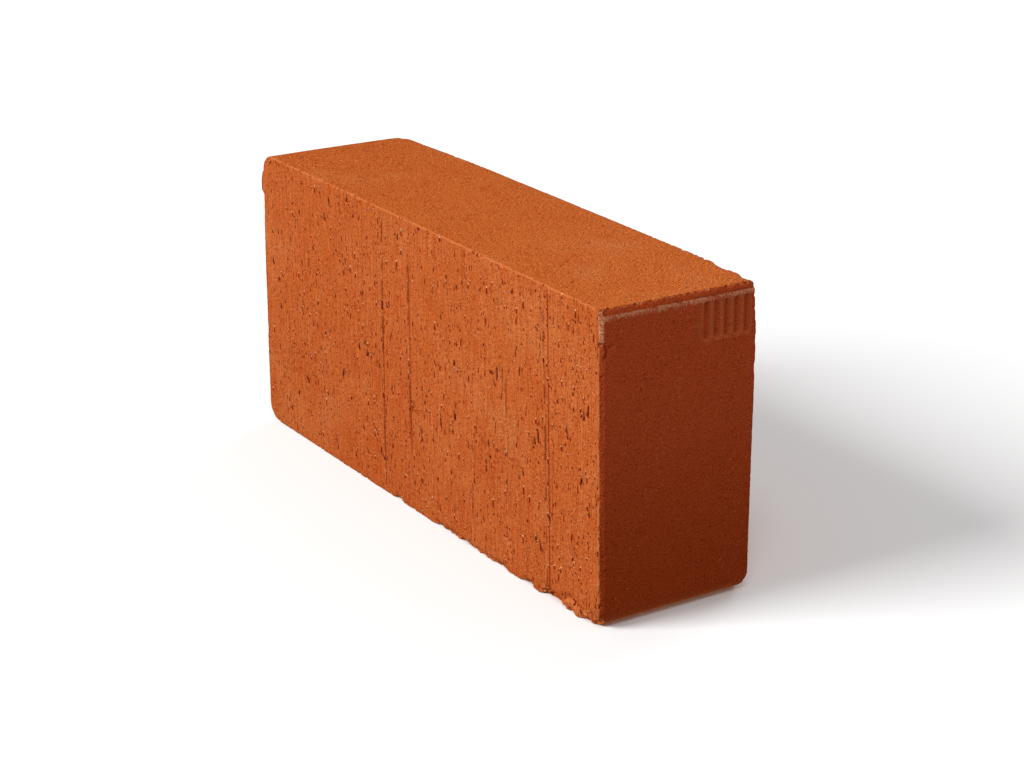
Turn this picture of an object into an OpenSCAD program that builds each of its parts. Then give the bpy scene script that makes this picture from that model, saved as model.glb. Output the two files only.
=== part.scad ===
// Solid clay brick: one piece of clay, pushed through a die, cut to thickness by wires and fired.
// Millimetres. The brick stands on one of its long narrow sides: X runs along its length,
// Y across its thickness between the two wire-cut faces, and Z up its height.
// The origin is in the middle of the underside. The marked end faces +X.

/* [Brick] */
// Length between the two ends
brick_length = 250; // [180:1:320]
// Height between the two long narrow sides
brick_height = 120; // [90:1:160]
// Thickness between the two wire-cut faces
brick_thickness = 65; // [45:1:100]

/* [Die corners] */
// Corner radius at the foot of the marked end
marked_foot_radius = 6; // [1:0.5:15]
// Corner radius at the foot of the plain end
plain_foot_radius = 8; // [1:0.5:15]
// Corner radius at the head of the plain end
plain_head_radius = 7; // [1:0.5:15]

/* [Marked end] */
// Height of the bevelled band along the head of the marked end
band_height = 3; // [1:0.5:6]
// How far the band leans in at its top edge
band_inset = 0.6; // [0.2:0.1:2]
// Width of the bevelled strip down the front edge of the marked end
strip_width = 1.8; // [1:0.2:6]
// How far the strip leans in at its front edge
strip_inset = 1.1; // [0.2:0.1:2]

/* [Wire-cut edges] */
// Bevel worn on the edges that the cutting wires left
arris = 0.6; // [0.2:0.1:1.5]

/* [Pressed flutes] */
// Number of upright flutes pressed into the marked end
flute_count = 5; // [2:1:5]
// Width of one flute
flute_width = 2; // [1:0.2:3]
// Distance from one flute to the next, centre to centre
flute_pitch = 4.2; // [3.5:0.1:5]
// Height of one flute, with its round ends
flute_height = 14; // [6:1:30]
// Depth of the flutes
flute_depth = 0.8; // [0.3:0.1:2]
// Distance from the bevelled band down to the flutes
flute_drop = 1.6; // [0.5:0.1:10]
// Distance from the back wire-cut face to the edge of the last flute
flute_margin = 3.5; // [2:0.5:8]

/* [Hidden] */

// Segments in a full circle
$fn = 96;
// How far a cutting shape runs past the clay
overrun = 1;

half_length = brick_length / 2;
half_thickness = brick_thickness / 2;

// What a round corner loses: the square that reaches from the sharp corner, at the origin, to the
// middle of the arc, less the arc's circle.
module corner_waste(radius) {
    difference() {
        translate([-overrun, -overrun]) square(radius + overrun);
        translate([radius, radius]) circle(r = radius);
    }
}

// The opening of the die, seen from the front: X to the right and the brick's height upward.
module die_section() {
    difference() {
        polygon([
            [-half_length, 0],
            [half_length, 0],
            [half_length, brick_height - band_height],
            [half_length - band_inset, brick_height],
            [-half_length, brick_height]
        ]);
        translate([half_length, 0]) mirror([1, 0]) corner_waste(marked_foot_radius);
        translate([-half_length, 0]) corner_waste(plain_foot_radius);
        translate([-half_length, brick_height]) mirror([0, 1]) corner_waste(plain_head_radius);
    }
}

// The column of clay as long as the brick is thick, centred on the origin along Y.
module die_column() {
    rotate([90, 0, 0])
        linear_extrude(height = brick_thickness, center = true) die_section();
}

// The brick's outline from the end, with the worn long edges bevelled.
module end_outline() {
    polygon([
        [-half_thickness + arris, 0],
        [half_thickness - arris, 0],
        [half_thickness, arris],
        [half_thickness, brick_height - arris],
        [half_thickness - arris, brick_height],
        [-half_thickness + arris, brick_height],
        [-half_thickness, brick_height - arris],
        [-half_thickness, arris]
    ]);
}

// The brick's outline from above, with the upright edges bevelled.
module plan_outline() {
    polygon([
        [-half_length + arris, -half_thickness],
        [half_length - strip_inset, -half_thickness],
        [half_length, -half_thickness + strip_width],
        [half_length, half_thickness - arris],
        [half_length - arris, half_thickness],
        [-half_length + arris, half_thickness],
        [-half_length, half_thickness - arris],
        [-half_length, -half_thickness + arris]
    ]);
}

// One flute, as a round-ended slot that cuts into the marked end, with its top at the origin.
module flute() {
    slot_length = flute_height - flute_width;
    rotate([0, 90, 0]) {
        linear_extrude(height = flute_depth + overrun) {
            translate([flute_width / 2, -flute_width / 2]) square([slot_length, flute_width]);
            translate([flute_width / 2, 0]) circle(d = flute_width);
            translate([flute_width / 2 + slot_length, 0]) circle(d = flute_width);
        }
    }
}

// The row of flutes below the band, starting from the back edge.
module flutes() {
    last_y = half_thickness - flute_margin - flute_width / 2;
    top_z = brick_height - band_height - flute_drop;
    for (i = [0 : flute_count - 1])
        translate([half_length - flute_depth, last_y - i * flute_pitch, top_z]) flute();
}

module brick() {
    color("chocolate")
        difference() {
            intersection() {
                die_column();
                rotate([90, 0, 90])
                    linear_extrude(height = brick_length + 2 * overrun, center = true) end_outline();
                translate([0, 0, -overrun])
                    linear_extrude(height = brick_height + 2 * overrun) plan_outline();
            }
            flutes();
        }
}

brick();
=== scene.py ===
import math

import bpy
import numpy as np
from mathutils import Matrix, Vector


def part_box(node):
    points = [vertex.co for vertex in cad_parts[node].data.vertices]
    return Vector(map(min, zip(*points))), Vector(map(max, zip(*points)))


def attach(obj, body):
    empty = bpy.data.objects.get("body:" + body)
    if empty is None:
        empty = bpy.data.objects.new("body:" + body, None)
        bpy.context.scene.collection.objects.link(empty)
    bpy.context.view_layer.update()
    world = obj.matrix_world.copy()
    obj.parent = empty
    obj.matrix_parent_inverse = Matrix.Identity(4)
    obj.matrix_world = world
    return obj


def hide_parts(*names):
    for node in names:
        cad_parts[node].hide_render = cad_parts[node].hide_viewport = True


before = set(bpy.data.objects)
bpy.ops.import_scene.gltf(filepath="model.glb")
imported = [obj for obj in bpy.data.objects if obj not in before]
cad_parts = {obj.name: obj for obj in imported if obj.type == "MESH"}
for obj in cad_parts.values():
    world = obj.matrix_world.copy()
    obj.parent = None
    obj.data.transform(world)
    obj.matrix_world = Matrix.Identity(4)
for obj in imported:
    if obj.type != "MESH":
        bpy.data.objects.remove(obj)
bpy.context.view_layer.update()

# ------------------------------ the brick
# One block of red clay, pushed through a die that leaves its narrow sides, ends and round corners
# smooth. Wires cut it to thickness: they drag grit down the two large faces and tear the foot of
# the cut. Then it is fired. Lengths are in millimetres.
MM = 0.001
BRICK_SEED = 20
low, high = (np.array(corner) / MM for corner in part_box("brick"))
length, thickness, height = high - low


def ruler(span, step, rim, rim_step):
    """Marks along one side of the block, set closer together within the rim at its two ends."""
    rim_marks = np.linspace(0, rim, round(rim / rim_step) + 1)
    middle = np.linspace(rim, span - rim, round((span - 2 * rim) / step) + 1)
    return np.concatenate([rim_marks[:-1], middle, span - rim_marks[-2::-1]])


# The block starts as a shell of square cells. Its marks are closest across the drag lines.
RIM = 3.0
RIM_STEP = 0.3
X_STEP = 0.32
Y_STEP = 0.6
Z_STEP = 0.5
x_marks = low[0] + ruler(length, X_STEP, RIM, RIM_STEP)
y_marks = low[1] + ruler(thickness, Y_STEP, RIM, RIM_STEP)
z_marks = low[2] + ruler(height, Z_STEP, RIM, RIM_STEP)

cells = (len(x_marks), len(y_marks), len(z_marks))
shell = np.zeros(cells, bool)
shell[[0, -1]] = True
shell[:, [0, -1]] = True
shell[:, :, [0, -1]] = True
number = np.full(cells, -1, np.int32)
number[shell] = np.arange(np.count_nonzero(shell))
at_x, at_y, at_z = np.nonzero(shell)
del shell


def side_quads(corners, outward):
    """The cells of one side, turned so that they face out of the block."""
    ring = [corners[:-1, :-1], corners[1:, :-1], corners[1:, 1:], corners[:-1, 1:]]
    if not outward:
        ring.reverse()
    return np.stack(ring, axis=-1).reshape(-1, 4)


quads = np.concatenate([
    side_quads(number[:, 0, :], True),
    side_quads(number[:, -1, :], False),
    side_quads(number[:, :, -1], True),
    side_quads(number[:, :, 0], False),
    side_quads(number[-1, :, :], True),
    side_quads(number[0, :, :], False),
])
del number


def clay_noise(u, v, size_u, size_v, seed):
    """Smooth random lumps from -1 to 1, about size_u by size_v, at every pair of marks."""
    random = np.random.default_rng([BRICK_SEED, seed])
    place_u = (u - u[0]) / size_u
    place_v = (v - v[0]) / size_v
    lumps = random.uniform(-1, 1, (int(place_u[-1]) + 2, int(place_v[-1]) + 2))
    cell_u, cell_v = place_u.astype(int), place_v.astype(int)
    part_u, part_v = place_u - cell_u, place_v - cell_v
    part_u = (part_u * part_u * (3 - 2 * part_u))[:, None]
    part_v = (part_v * part_v * (3 - 2 * part_v))[None, :]
    rows = lumps[cell_u] * (1 - part_u) + lumps[cell_u + 1] * part_u
    return rows[:, cell_v] * (1 - part_v) + rows[:, cell_v + 1] * part_v


def fade(distance, reach):
    """One at no distance, falling smoothly to nothing at the reach."""
    part = np.clip(1 - distance / reach, 0, 1)
    return part * part * (3 - 2 * part)


def sink(relief, u_marks, v_marks, u, v, half_u, half_v, depth, lean=0.0, taper=0.0):
    """Sinks a long pit into a face: it runs along v, leans, and is wider at its low end."""
    reach_u = half_u * (1 + abs(taper)) + abs(lean) * half_v
    first_u, last_u = np.searchsorted(u_marks, [u - reach_u, u + reach_u])
    first_v, last_v = np.searchsorted(v_marks, [v - half_v, v + half_v])
    if first_u == last_u or first_v == last_v:
        return
    along = (v_marks[None, first_v:last_v] - v) / half_v
    across = u_marks[first_u:last_u, None] - u - lean * along * half_v
    across = across / (half_u * (1 - taper * along))
    bowl = np.clip(1 - across ** 2, 0, 1) * np.clip(1 - along ** 2, 0, 1)
    patch = relief[first_u:last_u, first_v:last_v]
    np.maximum(patch, depth * np.sqrt(bowl), out=patch)


def snap(marks, place):
    """The mark nearest to a place, so that a thin slit falls on a line of cells."""
    return marks[np.abs(marks - place).argmin()]


# The two large faces: wires drag grit down them, which leaves slits, pits and long drag lines.
SIDE_MARGIN = 2.0
HEAD_MARGIN = 1.0
SLIT_COUNT = 260
SLIT_HALF_WIDTH = (0.20, 0.42)
SLIT_HALF_LENGTH = (0.6, 1.7)
SLIT_DEPTH = (0.4, 1.2)
SLIT_SIZE_POWER = 0.4
SLIT_LENGTH_SPREAD = (1.3, 3.0)
SLIT_LEAN = 0.08
SLIT_TAPER = 0.35
PIT_COUNT = 150
PIT_HALF_WIDTH = (0.3, 0.55)
PIT_DEPTH_SHARE = 1.4
PIT_LENGTH_SHARE = 1.3
PIT_ROUGHNESS = 0.3
# A deep mark is a leaning slit with a wider, shallower tear at its low end. These are shares of
# its width, its length and its width again.
MARK_SLIT = (0.42, 0.58, 1.0)
MARK_TEAR = (0.50, 0.26, 0.8)
MARK_LEAN = (-0.04, 0.10)
MARK_TAPER = 0.3
TEAR_DROP = 0.3
TEAR_DRIFT = 0.5
TEAR_LEAN = 0.3
GROOVE_HALF_WIDTH = 0.32
GROOVE_WANDER = 0.12
GROOVE_RAMP = 6.0
GROOVE_DRIFT_LENGTH = 16
GROOVE_STRENGTH = (0.8, 0.5)
GROOVE_STRENGTH_LENGTH = 4
ALONG_ONLY = np.array([0.0, 1.0])


def wire_cut(seed, grooves, marks):
    """The pits and the drag lines of one wire-cut face, as depths, for every x and z mark."""
    random = np.random.default_rng([BRICK_SEED, seed])
    pits = np.zeros((len(x_marks), len(z_marks)))
    for _ in range(SLIT_COUNT):
        slit_x = snap(x_marks, random.uniform(low[0] + SIDE_MARGIN, high[0] - SIDE_MARGIN))
        slit_z = random.uniform(low[2] + SIDE_MARGIN, high[2] - HEAD_MARGIN)
        size = random.power(SLIT_SIZE_POWER)
        half_width = np.interp(size, (0, 1), SLIT_HALF_WIDTH)
        half_length = np.interp(random.beta(*SLIT_LENGTH_SPREAD), (0, 1), SLIT_HALF_LENGTH)
        depth = np.interp(size, (0, 1), SLIT_DEPTH)
        sink(pits, x_marks, z_marks, slit_x, slit_z, half_width, half_length, depth,
             lean=random.normal(0, SLIT_LEAN), taper=SLIT_TAPER)
    for _ in range(PIT_COUNT):
        pit_x = random.uniform(low[0] + HEAD_MARGIN, high[0] - HEAD_MARGIN)
        pit_z = random.uniform(low[2] + HEAD_MARGIN, high[2] - HEAD_MARGIN)
        half = random.uniform(*PIT_HALF_WIDTH)
        sink(pits, x_marks, z_marks, pit_x, pit_z, half, half * PIT_LENGTH_SHARE, half * PIT_DEPTH_SHARE)
    for mark_x, mark_z, width, tall in marks:
        wide, long, deep = MARK_SLIT
        sink(pits, x_marks, z_marks, snap(x_marks, mark_x), mark_z, width * wide, tall * long, width * deep,
             lean=random.normal(*MARK_LEAN), taper=MARK_TAPER)
        wide, long, deep = MARK_TEAR
        sink(pits, x_marks, z_marks, mark_x + random.normal(0, TEAR_DRIFT), mark_z - tall * TEAR_DROP,
             width * wide, tall * long, width * deep, lean=random.normal(0, TEAR_LEAN))
    lines = np.zeros_like(pits)
    usual, spread = GROOVE_STRENGTH
    for count, (top_x, foot_x, top_z, foot_z, depth) in enumerate(grooves):
        drift = clay_noise(z_marks, ALONG_ONLY, GROOVE_DRIFT_LENGTH, 2, seed + 10 + count)[:, 0]
        change = clay_noise(z_marks, ALONG_ONLY, GROOVE_STRENGTH_LENGTH, 2, seed + 40 + count)[:, 0]
        strength = usual + spread * change
        line_x = np.interp(z_marks, (foot_z, top_z), (foot_x, top_x)) + GROOVE_WANDER * drift
        ends = np.minimum(z_marks - foot_z, top_z - z_marks) / GROOVE_RAMP
        across = (x_marks[:, None] - line_x[None, :]) / GROOVE_HALF_WIDTH
        line = depth * strength * np.clip(ends, 0, 1)
        np.maximum(lines, line[None, :] * np.clip(1 - across ** 2, 0, 1), out=lines)
    return pits * (1 + PIT_ROUGHNESS * clay_noise(x_marks, z_marks, 0.8, 1.0, seed + 1)), lines


# Each drag line: its x at the upper end and at the lower end, their heights, and its depth.
FRONT_GROOVES = [
    (89.6, 91.8, 119, 0, 0.85), (-24.3, -25.2, 117, 0, 0.75), (-4.8, -4.3, 106, 22, 0.7),
    (62.4, 63.0, 84, 50, 0.45), (65.0, 65.6, 80, 8, 0.55), (-75.2, -75.6, 48, 1, 0.6),
    (113.6, 113.8, 84, 36, 0.35), (-36.6, -36.2, 86, 48, 0.35), (-87.2, -86.8, 62, 28, 0.35),
    (-100.2, -100.0, 118, 99, 0.4), (-102.6, -102.4, 117, 99, 0.3), (12.2, 13.0, 52, 18, 0.4),
    (41.5, 40.9, 50, 0, 0.4), (95.2, 96.0, 84, 34, 0.3), (-1.8, -1.5, 34, 0, 0.3),
    (-7.2, -7.4, 30, 2, 0.3), (26.0, 26.2, 30, 0, 0.3), (54.0, 53.6, 66, 40, 0.3),
]
BACK_GROOVES = [
    (-71.0, -70.2, 119, 1, 0.8), (-66.5, -66.5, 86, 10, 0.4), (14.0, 13.2, 110, 20, 0.55),
    (47.0, 47.6, 118, 38, 0.45), (88.0, 88.4, 72, 0, 0.5), (-30.0, -30.4, 52, 0, 0.4),
    (-104.0, -103.6, 92, 6, 0.35), (101.0, 101.2, 114, 62, 0.35), (60.5, 60.2, 40, 0, 0.3),
]
# The deepest slits: the x and z of each, its width and its length.
FRONT_MARKS = [
    (-89, 29, 1.2, 3.6), (-97.5, 20, 1.0, 2.2), (-104, 11, 1.1, 2.6), (-65, 7, 0.9, 5.0),
    (-49, 8, 1.2, 2.6), (-42, 22.5, 1.0, 2.8), (-39, 13, 1.0, 2.6), (-28, 17, 1.2, 3.4),
    (-31, 24, 0.9, 3.2), (-25, 14.5, 0.9, 2.6), (-58, 41, 1.1, 3.0), (-67.5, 42, 0.9, 2.6),
    (-73, 43, 0.8, 2.0), (-112, 67, 1.0, 3.0), (-117.5, 74, 1.0, 3.0), (-111, 55, 1.1, 2.2),
    (-44, 57, 1.1, 3.6), (-37, 56, 1.1, 2.8), (-39, 60, 0.8, 2.8), (-54, 90, 0.9, 2.6),
    (-67, 112, 1.0, 4.4), (-71, 105, 0.9, 4.2), (-52, 117, 0.9, 3.0), (-25, 79.5, 1.1, 3.2),
    (-21, 81, 1.0, 2.0), (-12, 111, 1.0, 2.4), (29, 51, 1.2, 3.4), (29, 72, 1.0, 2.0),
    (15, 67.5, 1.0, 2.0), (19, 45, 1.0, 6.0), (4, 34, 0.8, 3.8), (3.5, 15, 1.1, 2.2),
    (52.5, 47.5, 1.0, 2.8), (59, 77, 1.0, 5.6), (57, 73, 0.8, 3.0), (76, 44, 1.0, 3.0),
    (86, 61.5, 1.1, 5.0), (84, 59, 1.0, 3.2), (82.5, 57, 0.8, 2.2), (87, 19, 1.1, 4.2),
    (84.5, 21, 0.9, 3.0), (104, 71, 0.8, 5.0), (105, 68, 0.8, 3.0), (117.5, 81, 1.0, 4.4),
    (115, 78.5, 0.9, 3.4), (113, 53, 0.9, 3.8), (118, 43, 0.9, 3.2), (109, 25, 0.8, 4.4),
]
BACK_MARKS = [
    (-96, 88, 1.1, 3.6), (-40, 70, 1.2, 5.0), (-38, 66, 1.0, 3.0), (-43, 68, 0.9, 3.2),
    (-84, 24, 1.1, 3.0), (-12, 96, 1.0, 4.0), (20, 40, 1.2, 4.4), (22, 37, 0.9, 3.0),
    (33, 84, 1.0, 2.6), (57, 18, 1.1, 3.0), (72, 61, 1.0, 4.6), (96, 88, 1.1, 4.0),
    (98, 84, 0.9, 3.4), (110, 30, 1.0, 3.2), (-114, 51, 1.0, 2.8), (3, 12, 1.1, 2.6),
]
front_pits, front_lines = wire_cut(100, FRONT_GROOVES, FRONT_MARKS)
back_pits, back_lines = wire_cut(200, BACK_GROOVES, BACK_MARKS)


# The low relief of a wire-cut face: how deep each kind is, and how long its lumps are in x and z.
WIRE_WAVES = [(0.05, 50, 40), (0.04, 8, 12), (0.04, 1.0, 26), (0.045, 0.9, 1.3)]


def wire_relief(pits, lines, seed):
    """The whole relief of one wire-cut face: its marks, low waves, fine stripes and grain."""
    relief = np.maximum(pits, lines)
    for count, (depth, size_x, size_z) in enumerate(WIRE_WAVES):
        relief += depth * (1 + clay_noise(x_marks, z_marks, size_x, size_z, seed + 2 + count))
    return relief


front = wire_relief(front_pits, front_lines, 100)
back = wire_relief(back_pits, back_lines, 200)


# The foot of each wire-cut face, where the wire leaves the clay and tears it.
FOOT_WAVE = 0.04
FOOT_WAVE_LENGTH = 5
SMALL_TEAR_HALF = (0.6, 2.4)
SMALL_TEAR_DEPTH = (0.15, 1)
NOTCH_STEP = 3
NOTCH_STEP_DEPTH = 0.75


def torn_foot(seed, spans, notch, tears=()):
    """How far the foot edge is lifted, for every x mark; the notch is steep on one side."""
    random = np.random.default_rng([BRICK_SEED, seed])
    lift = FOOT_WAVE * (1 + clay_noise(x_marks, ALONG_ONLY, FOOT_WAVE_LENGTH, 2, seed + 1)[:, 0])
    for start, end, count, deepest in spans:
        for _ in range(count):
            tear_x = random.uniform(start, end)
            half = random.uniform(*SMALL_TEAR_HALF)
            depth = random.uniform(*SMALL_TEAR_DEPTH) * deepest
            lift = np.maximum(lift, depth * np.clip(1 - ((x_marks - tear_x) / half) ** 2, 0, 1))
    for tear_x, half, depth in tears:
        lift = np.maximum(lift, depth * fade(np.abs(x_marks - tear_x), half))
    steep, deepest_x, end, depth = notch
    notch_x = (steep, deepest_x, deepest_x + NOTCH_STEP, end)
    return np.maximum(lift, np.interp(x_marks, notch_x, (0, depth, depth * NOTCH_STEP_DEPTH, 0)))


# A notch: where it starts, is deepest and ends, and its depth. A row of small tears: where it
# starts and ends, how many there are, and the deepest. A large tear: its x, reach and depth.
FRONT_NOTCH = (86.0, 93.5, 104.0, 2.9)
FRONT_SMALL_TEARS = [(20, 88, 16, 0.45), (-118, 15, 14, 0.25), (104, 121, 9, 0.6)]
FRONT_TEARS = [(-15, 5, 0.8), (16, 5, 0.9), (78, 6, 1.2), (125, 9, 3.1)]
BACK_NOTCH = (-38.0, -35.0, -27.0, 1.6)
BACK_SMALL_TEARS = [(-118, -60, 20, 0.9), (-60, 118, 34, 0.5)]
front_lift = torn_foot(300, FRONT_SMALL_TEARS, FRONT_NOTCH, FRONT_TEARS)
back_lift = torn_foot(320, BACK_SMALL_TEARS, BACK_NOTCH)

FOOT_REACH = 3.5
FOOT_WEAR = 0.1
LIFT_SHARE = 0.9
CRUMBLE = 0.6
foot_distance = (z_marks - low[2])[None, :]
for relief, lift, seed in ((front, front_lift, 340), (back, back_lift, 350)):
    crumble = 1 + CRUMBLE * clay_noise(x_marks, z_marks, 1.6, 1.4, seed)
    relief += (lift[:, None] * LIFT_SHARE + FOOT_WEAR) * fade(foot_distance, FOOT_REACH) * crumble

PATCH_REACH = 4.0
PATCH_RAGGED = 0.35
PATCH_RAGGED_LENGTH = 7
PATCH_SHOULDER = 2.2
LUMP_RISE = (0.75, 0.95, 0.25)
LUMP_DEEPEST = 2.2
SMALL_BULGE_SHARE = 0.5
CRACK_DEPTH = 1.2
CRACK_HALF_WIDTH = 0.16
CRACK_RAGGED = 0.25
CRACK_PRESENCE = (0.5, 1.2)
CREST_LEVEL = -0.25
CREST_SHADE = (0.9, 0.5)
IN_CRACK = 0.1


def torn_patch(relief, pits, start, end, tall, seed):
    """Crumples a stretch along the foot into lumps with cracks between; returns the lumps' crests."""
    middle, half = (start + end) / 2, (end - start) / 2
    ragged_top = clay_noise(x_marks, ALONG_ONLY, PATCH_RAGGED_LENGTH, 2, seed)[:, 0]
    ragged_top = tall * (1 + PATCH_RAGGED * ragged_top)
    zone = fade(np.maximum(np.abs(x_marks - middle) - half, 0), PATCH_REACH)[:, None]
    zone = zone * np.clip((ragged_top[:, None] - foot_distance) / PATCH_SHOULDER, 0, 1)
    warp = clay_noise(x_marks, z_marks, 3.4, 2.8, seed + 1)
    bulges = clay_noise(x_marks, z_marks, 5.0, 3.2, seed + 2)
    bulges = bulges + SMALL_BULGE_SHARE * clay_noise(x_marks, z_marks, 1.7, 1.3, seed + 3)
    ragged = clay_noise(x_marks, z_marks, 0.8, 0.8, seed + 4)
    cracks = np.clip(1 - np.abs(warp + CRACK_RAGGED * ragged) / CRACK_HALF_WIDTH, 0, 1)
    usual, spread = CRACK_PRESENCE
    cracks *= np.clip(usual + spread * clay_noise(x_marks, z_marks, 6.0, 4.0, seed + 5), 0, 1)
    usual, by_bulge, by_grain = LUMP_RISE
    relief += zone * np.clip(usual + by_bulge * bulges + by_grain * ragged, 0, LUMP_DEEPEST)
    relief += zone * cracks * CRACK_DEPTH
    np.maximum(pits, zone * cracks, out=pits)
    usual, by_grain = CREST_SHADE
    crests = np.clip(usual * (bulges < CREST_LEVEL) + by_grain * ragged, 0, 1)
    return zone * crests * (cracks < IN_CRACK)


front_crests = torn_patch(front, front_pits, start=92, end=124, tall=6.5, seed=360)
front_crests += torn_patch(front, front_pits, start=22, end=62, tall=2.2, seed=370)
back_crests = torn_patch(back, back_pits, start=-108, end=-62, tall=5.0, seed=380)
front = np.maximum(front, 0)
back = np.maximum(back, 0)


# The narrow sides and ends, which the die leaves smooth but for fine strokes and a few pits.
DIE_PIT_HALF = (0.35, 0.7)
DIE_PIT_DEPTH_SHARE = 0.7
STROKE_HALF_WIDTH = (0.3, 0.45)
STROKE_HALF_LENGTH = (1.0, 3.0)
STROKE_DEPTH = (0.12, 0.35)
STROKE_LEAN = -0.3
# The low relief: how deep each kind is, and how long its lumps are along u and v.
DIE_WAVES = [(0.05, 45, 40), (0.03, 7, 9), (0.02, 0.9, 1.4)]


def die_formed(u_marks, v_marks, seed, pits, strokes):
    """The relief of one die-formed face; strokes run along v."""
    random = np.random.default_rng([BRICK_SEED, seed])
    relief = np.zeros((len(u_marks), len(v_marks)))
    for _ in range(pits):
        size = random.uniform(*DIE_PIT_HALF)
        sink(relief, u_marks, v_marks, random.uniform(u_marks[0], u_marks[-1]),
             random.uniform(v_marks[0], v_marks[-1]), size, size, size * DIE_PIT_DEPTH_SHARE)
    for _ in range(strokes):
        sink(relief, u_marks, v_marks, snap(u_marks, random.uniform(u_marks[0], u_marks[-1])),
             random.uniform(v_marks[0], v_marks[-1]), random.uniform(*STROKE_HALF_WIDTH),
             random.uniform(*STROKE_HALF_LENGTH), random.uniform(*STROKE_DEPTH), lean=STROKE_LEAN)
    for count, (depth, size_u, size_v) in enumerate(DIE_WAVES):
        relief += depth * (1 + clay_noise(u_marks, v_marks, size_u, size_v, seed + 1 + count))
    return relief


top = die_formed(x_marks, y_marks, seed=400, pits=30, strokes=60)
under = die_formed(x_marks, y_marks, seed=420, pits=30, strokes=60)
marked = die_formed(z_marks, y_marks, seed=440, pits=12, strokes=8).T
plain = die_formed(z_marks, y_marks, seed=460, pits=14, strokes=10).T
# The pits that stand out on the upper side: x, y, half width, half length, depth and lean.
for pit_x, pit_y, half_u, half_v, depth, lean in (
    (56.6, 9.0, 0.5, 1.4, 0.8, -0.4),
    (-109.0, -21.5, 0.7, 1.0, 0.8, 0.0),
    (-49.5, -13.0, 0.5, 1.0, 0.6, -0.3),
):
    sink(top, x_marks, y_marks, pit_x, pit_y, half_u, half_v, depth, lean=lean)
# One more lies on the marked end, beside its front strip.
sink(marked, y_marks, z_marks, u=-28.5, v=106.0, half_u=0.6, half_v=0.9, depth=0.7)

# The block dries and fires a little out of true. The top sags, most of all at the back of the
# plain end; both ends lean in towards their heads.
TOP_SAG = 0.6
PLAIN_SAG = 0.3
CORNER_SAG = 0.9
CORNER_SAG_REACH = 75.0
MARKED_LEAN_FRONT_TOP = 3.9
MARKED_LEAN_FRONT_FOOT = 1.7
PLAIN_LEAN_TOP = 2.6
CORNER_SAG_CURVE = 1.5
PLAIN_LEAN_CURVE = 1.8
back_share = ((y_marks - low[1]) / thickness)[None, :]
plain_share = fade(x_marks - low[0], CORNER_SAG_REACH)[:, None]
sag = TOP_SAG + plain_share * (PLAIN_SAG + CORNER_SAG * back_share ** CORNER_SAG_CURVE)
front_share = (1 - back_share).T
up_share = ((z_marks - low[2]) / height)[None, :]
lean_gain = MARKED_LEAN_FRONT_TOP - MARKED_LEAN_FRONT_FOOT
marked_lean = front_share * (MARKED_LEAN_FRONT_FOOT + lean_gain * up_share)
plain_lean = PLAIN_LEAN_TOP * up_share ** PLAIN_LEAN_CURVE * np.ones_like(front_share)

# The bevelled band along the head of the marked end, and the strip down its front edge.
BAND_HEIGHT = 3.0
BAND_INSET = 0.6
STRIP_REACH = 2.7
STRIP_INSET = 1.1
head_distance = (high[2] - z_marks)[None, :]
front_distance = (y_marks - low[1])[:, None]
band = BAND_INSET * np.clip(1 - head_distance / BAND_HEIGHT, 0, 1)
strip = STRIP_INSET * fade(front_distance, STRIP_REACH)
marked += np.maximum(band, strip)
# A fine crease follows the foot of the band, and the head's edge is nicked along its length.
CREASE_DEPTH = 0.35
CREASE_HALF_WIDTH = 0.5
NICK_DEPTH = 0.9
NICK_REACH = 1.2
NICK_SHARPNESS = 2.6
NICK_LEVEL = 0.2
CREASE_RISE = 0.2
CREASE_PRESENCE = (0.7, 0.9)
crease = np.clip(1 - np.abs(head_distance - BAND_HEIGHT + CREASE_RISE) / CREASE_HALF_WIDTH, 0, 1)
usual, spread = CREASE_PRESENCE
crease = crease * np.clip(usual + spread * clay_noise(y_marks, z_marks, 5.0, 60.0, 482), 0, 1)
head_nicks = np.clip(NICK_SHARPNESS * clay_noise(y_marks, z_marks, 1.4, 9.0, 484) - NICK_LEVEL, 0, 1)
head_nicks = head_nicks * fade(head_distance, NICK_REACH)
marked += CREASE_DEPTH * crease + NICK_DEPTH * head_nicks
# A smear of clay lies across the front strip, with a crack along its edge.
SMEAR_Y = low[1] + 1.1
SMEAR_Z = 104.6
SMEAR_HALF_WIDTH = 1.5
SMEAR_HALF_HEIGHT = 2.6
SMEAR_THICKNESS = 0.55
SMEAR_FLAT_SHARE = 0.55
SMEAR_EDGE_SHARE = 0.5
SMEAR_CRACK_PLACE = 1.15
SMEAR_CRACK_SHARE = 0.22
SMEAR_CRACK_DEPTH = 0.5
SMEAR_CRACK_FOOT = SMEAR_Z - 2.0
smear_off_y = (y_marks[:, None] - SMEAR_Y) / SMEAR_HALF_WIDTH
smear_off = np.hypot(smear_off_y, (z_marks[None, :] - SMEAR_Z) / SMEAR_HALF_HEIGHT)
smear = fade(np.maximum(smear_off - SMEAR_FLAT_SHARE, 0), SMEAR_EDGE_SHARE)
smear_crack = np.clip(1 - np.abs(smear_off - SMEAR_CRACK_PLACE) / SMEAR_CRACK_SHARE, 0, 1)
smear_crack = smear_crack * (z_marks[None, :] > SMEAR_CRACK_FOOT)
marked += SMEAR_CRACK_DEPTH * smear_crack - SMEAR_THICKNESS * smear

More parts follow.
